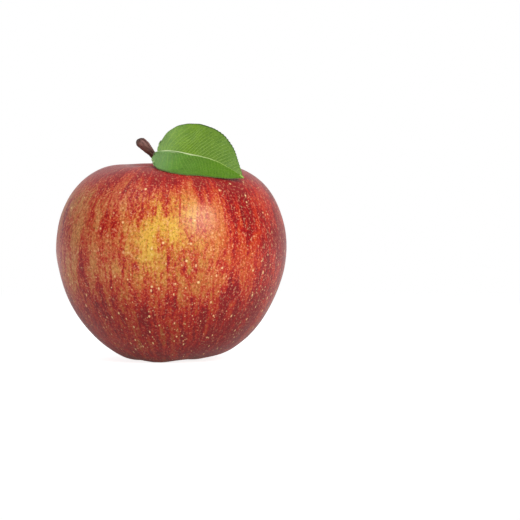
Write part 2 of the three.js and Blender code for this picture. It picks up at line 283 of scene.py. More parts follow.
# the outline from the top of the eye's tube, round by the foot and the crest, to the socket
profile = [(0.0006, 0.0107), (0.0013, 0.0103), (0.0021, 0.0088)]
for i in range(BASIN_RINGS + 1):
    inward = 1 - i / BASIN_RINGS
    radius = between(FOOT_RADIUS, EYE_RADIUS, inward)
    profile.append((radius, BASIN_DEPTH * (1 - math.cos(inward * math.pi / 2))))
for i in range(1, FLANK_RINGS):
    out, down = quarter((i / FLANK_RINGS) ** 1.2, FLANK_POWER)
    profile.append((between(FOOT_RADIUS, HALF_WIDTH, out), WIDEST_HEIGHT * (1 - down)))
for i in range(SHOULDER_RINGS):
    up, out = quarter(i / SHOULDER_RINGS, SHOULDER_POWER)
    radius = between(CREST_RADIUS, HALF_WIDTH, out)
    profile.append((radius, between(WIDEST_HEIGHT, CREST_HEIGHT, up)))
for i in range(CAVITY_RINGS):
    inward = 1 - i / CAVITY_RINGS
    rise = math.sin(inward * math.pi / 2) ** 0.85
    radius = between(SOCKET_RADIUS, CREST_RADIUS, inward)
    profile.append((radius, CAVITY_FLOOR + CAVITY_DEPTH * rise))
profile += [(SOCKET_RADIUS, CAVITY_FLOOR), (0.0016, 0.0486), (0.0006, 0.0483)]
fruit = turned_form(profile, RING)
fruit.name = "apple"

# the five lobes swell out low on the flank, and the foot rises between them
for azimuth in LOBE_AZIMUTHS:
    outward = Vector((math.cos(azimuth), math.sin(azimuth), 0))
    swell(outward * 0.030 + Vector((0, 0, 0.0115)), 0.004, 0.024, outward * 0.0003)
    gap = Vector((math.cos(azimuth + math.pi / 5), math.sin(azimuth + math.pi / 5), 0))
    swell(gap * FOOT_RADIUS, 0.0016, 0.0066, (0, 0, 0.0008), below=0.003)
    swell(gap * GAP_RADIUS, 0.002, 0.0075, (0, 0, 0.0003), below=0.004)

# small puckers draw the skin together round the eye
for side, turn in ((1, 0), (-1, 1)):
    pick(
        lambda place: 0.0022 < place.xy.length < 0.0050
        and place.z < 0.0078
        and round(math.atan2(place.y, place.x) / (2 * math.pi / RING)) % 2 == turn
    )
    bpy.ops.transform.translate(value=(0, 0, 0.00013 * side))

# no apple is quite round: one side of the shoulder stands higher and the other lower, the
# foot is off the middle, and one lobe is shallow
swell((-0.003, 0.0167, 0.0674), 0.004, 0.026, (0, 0, 0.0006))
swell((0.003, -0.0167, 0.0674), 0.004, 0.024, (0, 0, -0.0005))
pick(lambda place: place.z < 0.0014 and place.xy.length > 0.004)
push(0.007, (-0.0009, 0, 0))
swell((0.0105, -0.0082, 0.001), 0.003, 0.011, (0, 0, 0.0006))
bpy.ops.mesh.select_all(action="SELECT")
bpy.ops.transform.resize(value=(1.0075, 1.0015, 1.010), center_override=(0, 0, 0))
bpy.ops.object.mode_set(mode="OBJECT")
rounded(fruit, 2)
lumpy(fruit, "flesh", size=0.017, depth=1, strength=0.0006)

# it stands on the small flats that its own weight has pressed into the lobes
lowest = min(vertex.co.z for vertex in fruit.data.vertices)
bpy.ops.object.mode_set(mode="EDIT")
bpy.ops.mesh.select_all(action="SELECT")
bpy.ops.transform.translate(value=(0, 0, -lowest - 0.0002))
pick(lambda place: place.z < 0)
bpy.ops.transform.resize(value=(1, 1, 0), center_override=(0, 0, 0))
bpy.ops.object.mode_set(mode="OBJECT")
smooth(fruit)


def colour(red, green, blue):
    """A paint colour from 0 to 255, as the light that it throws back."""
    parts = [part / 255 for part in (red, green, blue)]
    return (
        *(p / 12.92 if p <= 0.04045 else ((p + 0.055) / 1.055) ** 2.4 for p in parts),
        1.0,
    )


def maths(tree, operation, *values):
    return node(tree, "Math", dict(enumerate(values)), operation=operation).outputs[0]


def vector(tree, operation, *values, output=0):
    made = node(tree, "VectorMath", dict(enumerate(values)), operation=operation)
    return made.outputs[output]


def mix(tree, share, first, second):
    """The first colour, with this share of the second over it."""
    made = node(tree, "Mix", {0: share, 6: first, 7: second}, data_type="RGBA")
    return made.outputs[2]


def shared_effect(name, inputs, output):
    """A new shader group with named sockets: (group, its inputs, its one output)."""
    group = bpy.data.node_groups.new(name, "ShaderNodeTree")
    for socket in inputs:
        kind = "NodeSocketVector" if socket == "Vector" else "NodeSocketFloat"
        group.interface.new_socket(name=socket, in_out="INPUT", socket_type=kind)
    group.interface.new_socket(name=output, in_out="OUTPUT", socket_type="NodeSocketFloat")
    given = group.nodes.new("NodeGroupInput").outputs
    result = group.nodes.new("NodeGroupOutput").inputs[output]
    return group, given, result


# random values about 0.5, in spots of one size in metres
GRAIN_INPUTS = ("Vector", "Size", "Detail", "Roughness", "Distortion")
grain_effect, given, result = shared_effect("random_grain", GRAIN_INPUTS, "Value")
passed = {name: given[name] for name in GRAIN_INPUTS if name != "Size"}
passed["Scale"] = maths(grain_effect, "DIVIDE", 1.0, given["Size"])
spots = node(grain_effect, "TexNoise", passed)
grain_effect.links.new(spots.outputs["Fac"], result)


def noise(tree, place, size, detail=2.0, roughness=0.5, distortion=0.0):
    values = dict(zip(GRAIN_INPUTS, (place, size, detail, roughness, distortion)))
    return node(tree, "Group", values, node_tree=grain_effect).outputs["Value"]


def finish_named(name):
    """A new material with its shader, ready for the pattern: (material, tree, shader)."""
    material = bpy.data.materials.new(name)
    material.use_nodes = True
    tree = material.node_tree
    tree.nodes.clear()
    shader = node(tree, "BsdfPrincipled")
    node(tree, "OutputMaterial", {"Surface": shader.outputs[0]})
    return material, tree, shader


def fill_shader(tree, shader, paint, roughness, relief, strength):
    """Gives a shader its colour, its roughness and its relief, a height in metres."""
    heights = {"Height": relief, "Distance": 1.0, "Strength": strength}
    tree.links.new(paint, shader.inputs["Base Color"])
    tree.links.new(roughness, shader.inputs["Roughness"])
    tree.links.new(node(tree, "Bump", heights).outputs[0], shader.inputs["Normal"])


# a mask of small round dots scattered a spacing apart, on one share of the places
DOTS_INPUTS = ("Vector", "Spacing", "Radius", "Share", "Seed")
dots_effect, given, result = shared_effect("scattered_dots", DOTS_INPUTS, "Mask")
moved = vector(dots_effect, "MULTIPLY_ADD", given["Seed"], (1, 0.7, 1.3), given["Vector"])
per_metre = maths(dots_effect, "DIVIDE", 1.0, given["Spacing"])
scattered = {"Vector": moved, "Scale": per_metre, "Randomness": 0.95}
cells = node(dots_effect, "TexVoronoi", scattered, feature="F1")
luck = node(dots_effect, "SeparateColor", {0: cells.outputs["Color"]}).outputs
size = maths(dots_effect, "MULTIPLY_ADD", luck[1], 0.55, 0.45)
reach = maths(dots_effect, "DIVIDE", given["Radius"], given["Spacing"])
reach = maths(dots_effect, "MULTIPLY", size, reach)
inner = maths(dots_effect, "DIVIDE", cells.outputs["Distance"], reach)
disc = ease(dots_effect, inner, 0.45, 1.0, 1.0, 0.0)
chosen = maths(dots_effect, "LESS_THAN", luck[0], given["Share"])
dots_effect.links.new(maths(dots_effect, "MULTIPLY", disc, chosen), result)


def dots(tree, place, spacing, radius, share, seed=0.0):
    values = dict(zip(DOTS_INPUTS, (place, spacing, radius, share, seed)))
    return node(tree, "Group", values, node_tree=dots_effect).outputs["Mask"]


# paint colours of the skin, one of them a painted shade for the lower half
GOLD, BRIGHT_GOLD, OLIVE = colour(222, 142, 68), colour(232, 182, 66), colour(178, 134, 52)
TAN, ORANGE, LOW_TAN = colour(212, 138, 76), colour(206, 78, 6), colour(166, 104, 34)
RED, CRIMSON, CREST_RED = colour(196, 22, 20), colour(142, 0, 16), colour(204, 62, 60)
DARK_SPECK, PALE_SPECK = colour(80, 20, 12), colour(248, 200, 148)
LOW_PAINTED_SHADE, PORE = colour(84, 24, 4), colour(250, 212, 150)
HALO, EYE = colour(190, 134, 84), colour(140, 96, 66)
CAVITY_GREEN, CAVITY_RUSSET = colour(128, 104, 44), colour(122, 78, 42)
LATITUDE_HEIGHT = 0.037  # that latitudes are measured from
CORE = (0, 0, 0.036)  # that the skin is looked at from, to say which way a patch faces
WANDER_SIZE, WANDER = 1 / 90, (0.003, 0.003, 0.002)  # how flecks stray from a straight line

skin, tree, shader = finish_named("apple_skin")
place = node(tree, "TexCoord").outputs["Object"]
x, y, z = node(tree, "SeparateXYZ", {0: place}).outputs[:3]
level = node(tree, "CombineXYZ", {0: x, 1: y}).outputs[0]
rho = vector(tree, "LENGTH", level, output=1)
ring = vector(tree, "NORMALIZE", level)
latitude = maths(tree, "ARCTAN2", maths(tree, "SUBTRACT", z, LATITUDE_HEIGHT), rho)
# the place on the skin, in metres: round the equator, and along from one pole to the other
scaled = {0: ring, "Scale": HALF_WIDTH}
round_it = node(tree, "VectorMath", scaled, operation="SCALE").outputs[0]
along_it = maths(tree, "MULTIPLY", latitude, HALF_WIDTH)
along_it = node(tree, "CombineXYZ", {2: along_it}).outputs[0]
skin_place = vector(tree, "ADD", round_it, along_it)
coarse = {"Vector": skin_place, "Scale": 1 / WANDER_SIZE, "Detail": 1.0}
astray = node(tree, "TexNoise", coarse).outputs["Color"]
wander = vector(tree, "MULTIPLY_ADD", astray, WANDER, skin_place)


def streaks(width, length, offset, soft):
    """Flecks that run from pole to pole, this wide and long on average."""
    squeeze, shift = (1, 1, width / length), (offset, offset, offset)
    drawn = vector(tree, "MULTIPLY_ADD", wander, squeeze, shift)
    spots = noise(tree, drawn, width * 2, 2.5, 0.6, 0.25)
    return ease(tree, spots, 0.5 - soft, 0.5 + soft)


def facing(azimuth, height, inner, outer):
    """1 where the skin looks towards an azimuth and height in degrees, 0 further off."""
    a, h, inner, outer = map(math.radians, (azimuth, height, inner, outer))
    way = (math.cos(a) * math.cos(h), math.sin(a) * math.cos(h), math.sin(h))
    from_core = vector(tree, "NORMALIZE", vector(tree, "SUBTRACT", place, CORE))
    near = vector(tree, "DOT_PRODUCT", from_core, way, output=1)
    return ease(tree, near, math.cos(outer), math.cos(inner))


def total(*parts):
    """Adds values up, in the material at hand."""
    value = parts[0]
    for part in parts[1:]:
        value = maths(tree, "ADD", value, part)
    return value


def times(value, factor):
    return maths(tree, "MULTIPLY", value, factor)


def sway(value, amount):
    """Takes a random value from about its middle to about nought, times an amount."""
    return times(maths(tree, "SUBTRACT", value, 0.5), amount)


broad = streaks(width=0.0042, length=0.015, offset=0.3, soft=0.17)
middle = streaks(width=0.0017, length=0.0075, offset=0.7, soft=0.14)
narrow = streaks(width=0.0006, length=0.0045, offset=1.1, soft=0.15)
# turned off the axes, so that the grid of the noise doesn't show
turned = {"Vector": place, "Rotation": (0.6, 0.4, 0.9)}
askew = node(tree, "VectorRotate", turned, rotation_type="EULER_XYZ").outputs[0]
mottle = noise(tree, askew, 0.0024, 3.0, 0.65)
upright = vector(tree, "MULTIPLY", wander, (1, 1, 0.6))
grain = noise(tree, upright, 0.0008, 3.0, 0.8)
speck = noise(tree, askew, 0.00075, 3.0, 0.8)
clouds = noise(tree, place, 0.022, 2.0, 0.5)

# how red the skin is: more at the crest and low down, less on the patches of gold, and less
# under the key light's highlight, where paler paint is a painted highlight
crest = ease(tree, latitude, 0.42, 0.85)
low = ease(tree, latitude, -0.1, -0.75)
gold_front = facing(-99, 9, 1, 17)
gold_round = facing(-98, 12, 3, 30)
left_tan = facing(-142, 14, 6, 46)
# painted highlight: paler skin where the key light's highlight falls on the front
highlight_paling = facing(-73, 20, 3, 26)
right_red = facing(-20, 20, 10, 60)
back_gold = facing(62, 10, 5, 45)
blush = total(
    0.60,
    times(crest, 0.40),
    times(low, 0.25),
    times(gold_front, -0.30),
    times(highlight_paling, -0.12),
    times(left_tan, -0.10),
    times(right_red, 0.28),
    times(back_gold, -0.22),
    sway(clouds, 0.5),
    sway(broad, 0.34),
    sway(middle, 0.28),
    sway(narrow, 0.24),
    sway(mottle, 0.6),
    sway(grain, 1.2),
)

# the ground colour, the red and crimson over it, and the specks over those
ground = mix(tree, gold_round, GOLD, BRIGHT_GOLD)
ground = mix(tree, left_tan, ground, TAN)
ground = mix(tree, right_red, ground, ORANGE)
ground = mix(tree, low, ground, LOW_TAN)
ground = mix(tree, ease(tree, clouds, 0.45, 0.7, 0.0, 0.45), ground, OLIVE)
paint = mix(tree, ease(tree, blush, 0.08, 0.84), ground, RED)
paint = mix(tree, ease(tree, blush, 0.62, 1.05), paint, CRIMSON)
paint = mix(tree, ease(tree, speck, 0.48, 0.34, 0.0, 0.6), paint, DARK_SPECK)
pale_speck = ease(tree, speck, 0.53, 0.68, 0.0, 0.55)
pale_speck = times(pale_speck, ease(tree, low, 0.0, 1.0, 1.0, 0.6))
paint = mix(tree, pale_speck, paint, PALE_SPECK)
# painted shade: a dark brown laid over the lower half, stronger towards the foot
paint = mix(tree, times(low, 0.24), paint, LOW_PAINTED_SHADE)
paint = mix(tree, times(crest, 0.26), paint, CREST_RED)

# lenticels: pale corky pores, few and round above, many and longer below
upper_dots = dots(tree, skin_place, spacing=0.0038, radius=0.00066, share=0.75)
drawn_out = vector(tree, "MULTIPLY", skin_place, (1, 1, 0.62))
lower_dots = dots(tree, drawn_out, spacing=0.0024, radius=0.00052, share=0.75, seed=0.37)
fine_dots = dots(tree, skin_place, spacing=0.0017, radius=0.00042, share=0.65, seed=0.91)
pores = total(
    upper_dots,
    times(lower_dots, ease(tree, latitude, 0.45, -0.35)),
    times(fine_dots, ease(tree, latitude, 0.7, -0.6, 0.4, 0.6)),
)
pores = maths(tree, "MINIMUM", pores, 1.0)
paint = mix(tree, times(pores, 0.92), paint, PORE)

# russet and green in the stalk cavity, and a brown halo round the eye
ray = streaks(width=0.0022, length=0.03, offset=1.9, soft=0.2)
in_cavity = ease(tree, total(rho, times(ray, -0.004)), 0.012, 0.0045)
in_cavity = times(in_cavity, ease(tree, z, 0.045, 0.05))
cavity_tone = mix(tree, ray, CAVITY_GREEN, CAVITY_RUSSET)
paint = mix(tree, times(in_cavity, 0.85), paint, cavity_tone)
at_foot = ease(tree, z, 0.03, 0.02)
halo = times(ease(tree, total(rho, times(ray, -0.005)), 0.015, 0.006), at_foot)
paint = mix(tree, times(halo, 0.55), paint, HALO)
in_eye = times(ease(tree, rho, 0.0046, 0.0026), at_foot)
paint = mix(tree, times(in_eye, 0.75), paint, EYE)

relief = total(
    times(noise(tree, place, 0.0032, 2.0, 0.5), 0.00008),
    times(grain, 0.00005),
    times(pores, 0.00004),
)
roughness = total(0.30, times(grain, 0.12), times(in_cavity, 0.3), times(pores, 0.1))
fill_shader(tree, shader, paint, roughness, relief, strength=0.8)
shader.inputs["Specular IOR Level"].default_value = 0.3
shader.inputs["Coat Weight"].default_value = 0.04
shader.inputs["Coat Roughness"].default_value = 0.22
fruit.data.materials.append(skin)

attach(fruit, "root")
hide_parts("fruit")

# ------------------------------------------------------------ stalk
# A woody stalk that leans out of the cavity and ends in the slanted knob where it snapped
# off its spur. It grows out of the flesh, from a socket at the cavity's floor.

STALK_LENGTH = 0.031
STALK_RADIUS = 0.00096
FOOT_SWELL, KNOB_SWELL = 0.00054, 0.00104  # that the foot and the knob stand out further
STALK_RINGS = 34
GROOVES = 8
STALK_ROUTE = [
    (0, 0, 0.0486),
    (0, 0, 0.0515),
    (-0.0005, -0.0002, 0.0565),
    (-0.0023, -0.0008, 0.0640),
    (-0.0060, -0.0018, 0.0704),
    (-0.0098, -0.0027, 0.0749),
    (-0.0142, -0.0038, 0.0809),
]


def route(name, points, twist):
    """A smooth curve through points, for a straight piece to be bent along."""
    line = bpy.data.curves.new(name, "CURVE")
    line.dimensions, line.twist_mode, line.resolution_u = "3D", twist, 24
    spline = line.splines.new("BEZIER")
    spline.bezier_points.add(len(points) - 1)
    for knot, point in zip(spline.bezier_points, points):
        knot.co = point
        knot.handle_left_type = knot.handle_right_type = "AUTO"
    curve = bpy.data.objects.new(name, line)
    scene.collection.objects.link(curve)
    return curve


def keep_straight_place(piece):
    """Keeps each vertex's place before the piece is bent, for its pattern to follow it."""
    kept = piece.data.attributes.new("straight", "FLOAT_VECTOR", "POINT")
    for vertex, entry in zip(piece.data.vertices, kept.data):
        entry.vector = vertex.co


def bend_along(piece, points, axis="POS_Z", twist="MINIMUM"):
    """Bends a straight piece that starts at the origin along a curve through points."""
    curve = route(piece.name + "_route", points, twist)
    finish_with(piece, "CURVE", object=curve, deform_axis=axis)
    bpy.data.objects.remove(curve)


def soft_step(low, high, value):
    share = min(max((value - low) / (high - low), 0), 1)
    return share * share * (3 - 2 * share)


profile = []
for i in range(STALK_RINGS + 1):
    share = i / STALK_RINGS
    radius = (
        STALK_RADIUS
        + FOOT_SWELL * (1 - soft_step(0.04, 0.3, share))
        + KNOB_SWELL * soft_step(0.66, 0.97, share) ** 1.2
    )
    profile.append((radius, share * STALK_LENGTH))
knob = profile[-1][0]
rounding = [  # of the knob's end: share of its radius, height above the stalk's length
    (0.99, -0.0017),
    (0.95, -0.0011),
    (0.84, -0.0005),
    (0.64, -0.0001),
    (0.42, 0.00012),
    (0.2, 0.0002),
]
profile = [(0.0007, 0.0), (0.0013, 0.0001)] + profile[1:-2]
profile += [(knob * share, STALK_LENGTH + above) for share, above in rounding]
stalk = turned_form(profile, 16)
stalk.name = "stalk_wood"

# shallow grooves run along the bark
for i in range(GROOVES):
    azimuth = math.radians(360 / GROOVES * i)
    out = Vector((math.cos(azimuth), math.sin(azimuth), 0))
    pick(
        lambda place: place.xy.length > 0.0005
        and (place.xy.normalized() - out.xy).length < 0.1
        and place.z < STALK_LENGTH - 0.0009
    )
    bpy.ops.transform.translate(value=out * -0.00006)
# the knob is cut off at a slant, and bulges under its rim
pick(lambda place: place.z > STALK_LENGTH - 0.0016)
push(0.0022, (0.0003, 0.0001, 0))
for height, slant in ((0.0016, 0.06), (0.0008, 0.08), (0.0003, 0.06)):
    pick(lambda place: place.z > STALK_LENGTH - height)
    bpy.ops.transform.rotate(
        value=slant, orient_axis="Y", center_override=(0.0003, 0, STALK_LENGTH - 0.001)
    )
bpy.ops.object.mode_set(mode="OBJECT")
rounded(stalk, 2)
keep_straight_place(stalk)
lumpy(stalk, "bark", size=0.0011, depth=2, strength=0.00032)
bend_along(stalk, STALK_ROUTE)
smooth(stalk)

bark, tree, shader = finish_named("stalk_bark")
along = node(tree, "Attribute", attribute_name="straight").outputs["Vector"]
length_way = vector(tree, "MULTIPLY", along, (1, 1, 0.16))
fibres = noise(tree, length_way, 0.0007, 3.0, 0.6)
patches = noise(tree, along, 0.0035, 2.0, 0.5)
fine = noise(tree, along, 0.00035, 2.0, 0.6)
up = node(tree, "SeparateXYZ", {0: along}).outputs["Z"]
wood = mix(tree, ease(tree, fibres, 0.34, 0.68), colour(74, 38, 34), colour(148, 104, 96))
wood = mix(tree, ease(tree, patches, 0.5, 0.75, 0.0, 0.5), wood, colour(116, 88, 66))
wood = mix(tree, ease(tree, up, 0.010, 0.002, 0.0, 0.6), wood, colour(118, 112, 50))
wood = mix(tree, ease(tree, up, 0.0297, 0.0312, 0.0, 0.75), wood, colour(66, 40, 34))
warts = dots(tree, along, spacing=0.0013, radius=0.00024, share=0.7)
wood = mix(tree, times(warts, 0.7), wood, colour(176, 150, 128))
relief = total(times(fibres, 0.00012), times(fine, 0.00004), times(warts, 0.00005))
roughness = ease(tree, fibres, 0.3, 0.7, 0.5, 0.75)
fill_shader(tree, shader, wood, roughness, relief, strength=1.0)
stalk.data.materials.append(bark)

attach(stalk, "root")
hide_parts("stalk")

# ------------------------------------------------------------ leaf
# One fresh leaf on a short petiole of its own beside the stalk. Its blade is folded along
# the midrib: the half behind stands up and the half in front lies down over the shoulder.

LEAF_LENGTH = 0.032
LEAF_HALF = 0.0125  # width of each half at its widest
LEAF_THICKNESS = 0.00036
LEAF_TOOTH = 0.0004
LEAF_CLEARANCE = 0.0006  # that the middle of the blade keeps from the skin
VEINS = 28  # side veins in each half, one in every second column
COLUMNS = 2 * VEINS
BLADE_ROWS = 10  # in each half
CROWDING = 1.25  # of the columns towards the base, and of the rows towards the midrib
VEIN_LEAN = 0.62  # how far forward the side veins run for each step outwards
HALF_CURL = 9  # degrees that each half bends on by, towards its margin
ROUND_COLUMNS = 12  # that the rounding of the base reaches over
MIDRIB_POINTS = [  # azimuth in degrees, how far out over the shoulder, height above it
    (-109, -0.10, 0.0043),
    (-93, -0.07, 0.0047),
    (-82, -0.03, 0.0044),
    (-71, 0.05, 0.0036),
    (-60, 0.18, 0.0031),
    (-53, 0.33, 0.0028),
    (-47, 0.50, 0.0024),
    (-41, 0.69, 0.0026),
    (-36, 0.84, 0.0028),
]
# of each half: its pitch in degrees, how blunt base and tip are (less is blunter), how far
# the base and its veins reach back, over what share they fan out, and the base's rounding
BACK = {
    "side": 1,
    "pitch": 64,
    "round": (0.72, 1.14),
    "lobe": 0.03,
    "base_lean": -0.06,
    "fan": 0.14,
    "corner": 0.0006,
    "fullness": 0.0,
}
FRONT = {
    "side": -1,
    "pitch": -29,
    "round": (0.5, 0.85),
    "lobe": 0.095,
    "base_lean": -0.26,
    "fan": 0.26,
    "corner": 0.0024,
    "fullness": 0.0003,
}


def midrib_point(azimuth, out, lift):
    """A point above the shoulder, as listed in MIDRIB_POINTS."""
    radius = between(CREST_RADIUS, HALF_WIDTH, out)
    rise = (1 - max(out, 0) ** SHOULDER_POWER) ** (1 / SHOULDER_POWER)
    height = between(WIDEST_HEIGHT, CREST_HEIGHT, rise) + lift
    angle = math.radians(azimuth)
    return Vector((radius * math.cos(angle), radius * math.sin(angle), height))


def half_width(along, half):
    """How wide one half of the blade is, at a share of the midrib's length."""
    blunt, sharp = half["round"]
    along = (along + half["lobe"]) / (1 + half["lobe"])
    along = min(max(along, 0.0001), 0.9999)
    widest = blunt / (blunt + sharp)
    most = widest**blunt * (1 - widest) ** sharp
    return LEAF_HALF * along**blunt * (1 - along) ** sharp / most


def reach_of_column(start, lean, half):
    """How far out a column that leans forward as a side vein does meets the margin."""
    out = LEAF_HALF * 0.5
    for _ in range(60):
        met = start + lean * out / LEAF_LENGTH
        out = between(out, half_width(met, half), 0.35)
    return max(out, 0.00012)


def flat_sheet(name, length, half_width, columns, rows):
    """A flat sheet along +X, in edit mode, and each vertex's column and row."""
    bpy.ops.mesh.primitive_grid_add(x_subdivisions=columns, y_subdivisions=2 * rows, size=1)
    sheet = bpy.context.object
    sheet.name = name
    bpy.ops.object.mode_set(mode="EDIT")
    bpy.ops.transform.resize(value=(length, 2 * half_width, 1), center_override=(0, 0, 0))
    bpy.ops.transform.translate(value=(length / 2, 0, 0))
    mesh = bmesh.from_edit_mesh(sheet.data)
    places = [(v.co.x / length * columns, v.co.y / half_width * rows) for v in mesh.verts]
    return sheet, [(round(column), round(row)) for column, row in places]


def pick_cells(sheet, grid, wanted):
    """Selects a sheet's vertices by the column and row that they started in."""
    mesh = bmesh.from_edit_mesh(sheet.data)
    mesh.verts.ensure_lookup_table()
    for index, (column, row) in enumerate(grid):
        mesh.verts[index].select = bool(wanted(column, row))
    mesh.select_flush_mode()
    bmesh.update_edit_mesh(sheet.data)


leaf, grid = flat_sheet("leaf_blade", LEAF_LENGTH, LEAF_HALF, COLUMNS, BLADE_ROWS)

# the rows move closer to the midrib, and take a full forward lean, which each column later
# takes its own part of
row_share = [(i / BLADE_ROWS) ** CROWDING for i in range(BLADE_ROWS + 1)]
for number in range(-BLADE_ROWS, BLADE_ROWS + 1):
    side = 1 if number > 0 else -1
    share = row_share[abs(number)]
    inward = side * (share - abs(number) / BLADE_ROWS)
    pick_cells(leaf, grid, lambda column, row: row == number)
    bpy.ops.transform.translate(value=(share * LEAF_HALF, inward * LEAF_HALF, 0))

# the side veins lie in shallow furrows, and the blade bulges between them
pick_cells(leaf, grid, lambda column, row: column % 2 == 1 and 0 < abs(row) < BLADE_ROWS)
bpy.ops.transform.translate(value=(0, 0, -0.00007))
pick_cells(leaf, grid, lambda column, row: column % 2 == 0 and 1 < abs(row) < BLADE_ROWS)
bpy.ops.transform.translate(value=(0, 0, 0.00005))

# each half is turned up or down at the midrib, and bends on a little in every row
for half in (BACK, FRONT):
    side = half["side"]
    hinge, heading = Vector((0, 0, 0)), 0.0
    for number in range(1, BLADE_ROWS + 1):
        wanted_heading = math.radians(half["pitch"] - HALF_CURL * row_share[number])
        pick_cells(leaf, grid, lambda column, row: row * side >= number)
        bpy.ops.transform.rotate(
            value=(heading - wanted_heading) * side,
            orient_axis="X",
            center_override=hinge,
        )
        heading = wanted_heading
        step = (row_share[number] - row_share[number - 1]) * LEAF_HALF
        hinge = hinge + Vector((0, side * math.cos(heading), math.sin(heading))) * step

# each column is drawn in to the outline and leans: back at the base, forward beyond
flat_place = {}
for half in (BACK, FRONT):
    side = half["side"]
    for column in range(COLUMNS + 1):
        start = (column / COLUMNS) ** CROWDING
        lean = between(half["base_lean"], VEIN_LEAN, soft_step(0, half["fan"], start))
        lean *= 1 - 0.4 * soft_step(0.7, 1, start)  # less near the tip
        reach = reach_of_column(start, lean, half)
        reach += LEAF_TOOTH * soft_step(0.1, 0.4, start) * (0.5 if column % 2 else -0.5)
        share = reach / LEAF_HALF
        # the columns stand closer together towards the base
        first_row = 0 if half is BACK else 1
        pick_cells(leaf, grid, lambda c, row: c == column and row * side >= first_row)
        bpy.ops.transform.translate(value=((start - column / COLUMNS) * LEAF_LENGTH, 0, 0))
        pick_cells(leaf, grid, lambda c, row: c == column and row * side > 0)
        bpy.ops.transform.resize(
            value=(lean * share, share, share),
            center_override=(start * LEAF_LENGTH, 0, 0),
        )
        for number in range(first_row, BLADE_ROWS + 1):
            out = row_share[number] * reach
            along = start * LEAF_LENGTH + lean * out
            flat_place[column, number * side] = (along, out * side, 0)
    # the base is rounded: full at the middle of its edge, and drawn in towards its corner
    for column in range(ROUND_COLUMNS):
        give = (1 - column / ROUND_COLUMNS) ** 1.5
        for number in range(1, BLADE_ROWS + 1):
            share = row_share[number]
            drawn_in = half["corner"] * share**6
            drawn_in -= half["fullness"] * math.sin(math.pi * share)
            pick_cells(leaf, grid, lambda c, row: (c, row) == (column, number * side))
            bpy.ops.transform.translate(value=(give * drawn_in, 0, 0))
bpy.ops.object.mode_set(mode="OBJECT")


def keep_leaf_place(piece, places, shares):
    """Keeps each vertex's place on the flat blade, and its share along and out of it."""
    for name, values in (("straight", places), ("veins", shares)):
        kept = piece.data.attributes.new(name, "FLOAT_VECTOR", "POINT")
        for entry, value in zip(kept.data, values):
            entry.vector = value


keep_leaf_place(
    leaf,
    [flat_place[spot] for spot in grid],
    [(c / COLUMNS, math.copysign(row_share[abs(r)], r), 0) for c, r in grid],
)
rounded(leaf, 2)
midrib = [midrib_point(*point) for point in MIDRIB_POINTS]
bend_along(leaf, midrib, "POS_X", "Z_UP")
lumpy(leaf, "blade", size=0.006, depth=1, strength=0.0007)
finish_with(
    leaf,
    "SHRINKWRAP",
    target=fruit,
    wrap_method="NEAREST_SURFACEPOINT",
    wrap_mode="OUTSIDE",
    offset=LEAF_CLEARANCE,
)
leaf.vertex_groups.new(name="under")
finish_with(
    leaf,
    "SOLIDIFY",
    thickness=LEAF_THICKNESS,
    offset=-1,
    shell_vertex_group="under",
    use_quality_normals=True,
)
lower_face = leaf.data.attributes.new("lower_face", "FLOAT", "POINT")
for vertex, entry in zip(leaf.data.vertices, lower_face.data):
    entry.value = sum(group.weight for group in vertex.groups)

# the petiole runs on under the blade as its midrib, tapering to the tip
PETIOLE_START = Vector((-0.0055, -0.0021, 0.0703))
PETIOLE_LENGTH = 0.0117
PETIOLE_RADIUS, RIB_RADIUS, TIP_RADIUS = 0.0006, 0.00042, 0.0001
RIB_RINGS = 40
RIB_SINK = Vector((0, 0, 0.00022))  # how far the rib lies below the middle of the blade

rib_length = PETIOLE_LENGTH + LEAF_LENGTH
profile = [(0.00072, 0.0), (0.00088, 0.0004), (0.00080, 0.0012)]
for i in range(1, RIB_RINGS + 1):
    along = i / RIB_RINGS * rib_length
    on_blade = soft_step(PETIOLE_LENGTH - 0.001, PETIOLE_LENGTH + 0.004, along)
    radius = between(PETIOLE_RADIUS, RIB_RADIUS, on_blade)
    radius = between(radius, TIP_RADIUS, max(along - PETIOLE_LENGTH, 0) / LEAF_LENGTH)
    profile.append((radius, max(along, 0.0016 + 0.0001 * i)))
profile.append((0.00003, rib_length + 0.00003))
rib = turned_form(profile, 10)
rib.name = "leaf_rib"
bpy.ops.object.mode_set(mode="OBJECT")
keep_leaf_place(
    rib,
    [(v.co.z - PETIOLE_LENGTH, v.co.x, v.co.y) for v in rib.data.vertices],
    [(0, 0, 0)] * len(rib.data.vertices),
)
rib.data.attributes.new("lower_face", "FLOAT", "POINT")
rounded(rib, 1)
halfway = PETIOLE_START.lerp(midrib[0], 0.5) + Vector((-0.0003, 0, -0.0006))
bend_along(rib, [PETIOLE_START, halfway] + [point - RIB_SINK for point in midrib])
select_only(leaf, rib)
bpy.ops.object.join()
smooth(leaf, 60)

# paint colours of the two halves at base and tip, the lower face, the veins and the margin;
# the back half's tip colour is its green greyed by a painted sheen
BACK_BASE, BACK_TIP_WITH_SHEEN = colour(112, 150, 16), colour(98, 134, 40)
FRONT_BASE, FRONT_TIP = colour(98, 150, 52), colour(84, 132, 10)
MOTTLE, FINE_MOTTLE = colour(70, 112, 20), colour(64, 104, 24)
PALE_BASE, UNDER = colour(148, 186, 132), colour(158, 190, 122)
VEIN, UNDER_VEIN = colour(166, 196, 86), colour(206, 222, 172)
RIB_BASE, RIB_TIP, MARGIN = colour(228, 238, 192), colour(168, 196, 92), colour(50, 74, 30)

green, tree, shader = finish_named("leaf_green")
flat = node(tree, "Attribute", attribute_name="straight").outputs["Vector"]
share_of = node(tree, "Attribute", attribute_name="veins").outputs["Vector"]
under = node(tree, "Attribute", attribute_name="lower_face").outputs["Fac"]
vein_along, vein_out, _ = node(tree, "SeparateXYZ", {0: share_of}).outputs[:3]
flat_x, flat_y, _ = node(tree, "SeparateXYZ", {0: flat}).outputs[:3]
out = maths(tree, "ABSOLUTE", vein_out)
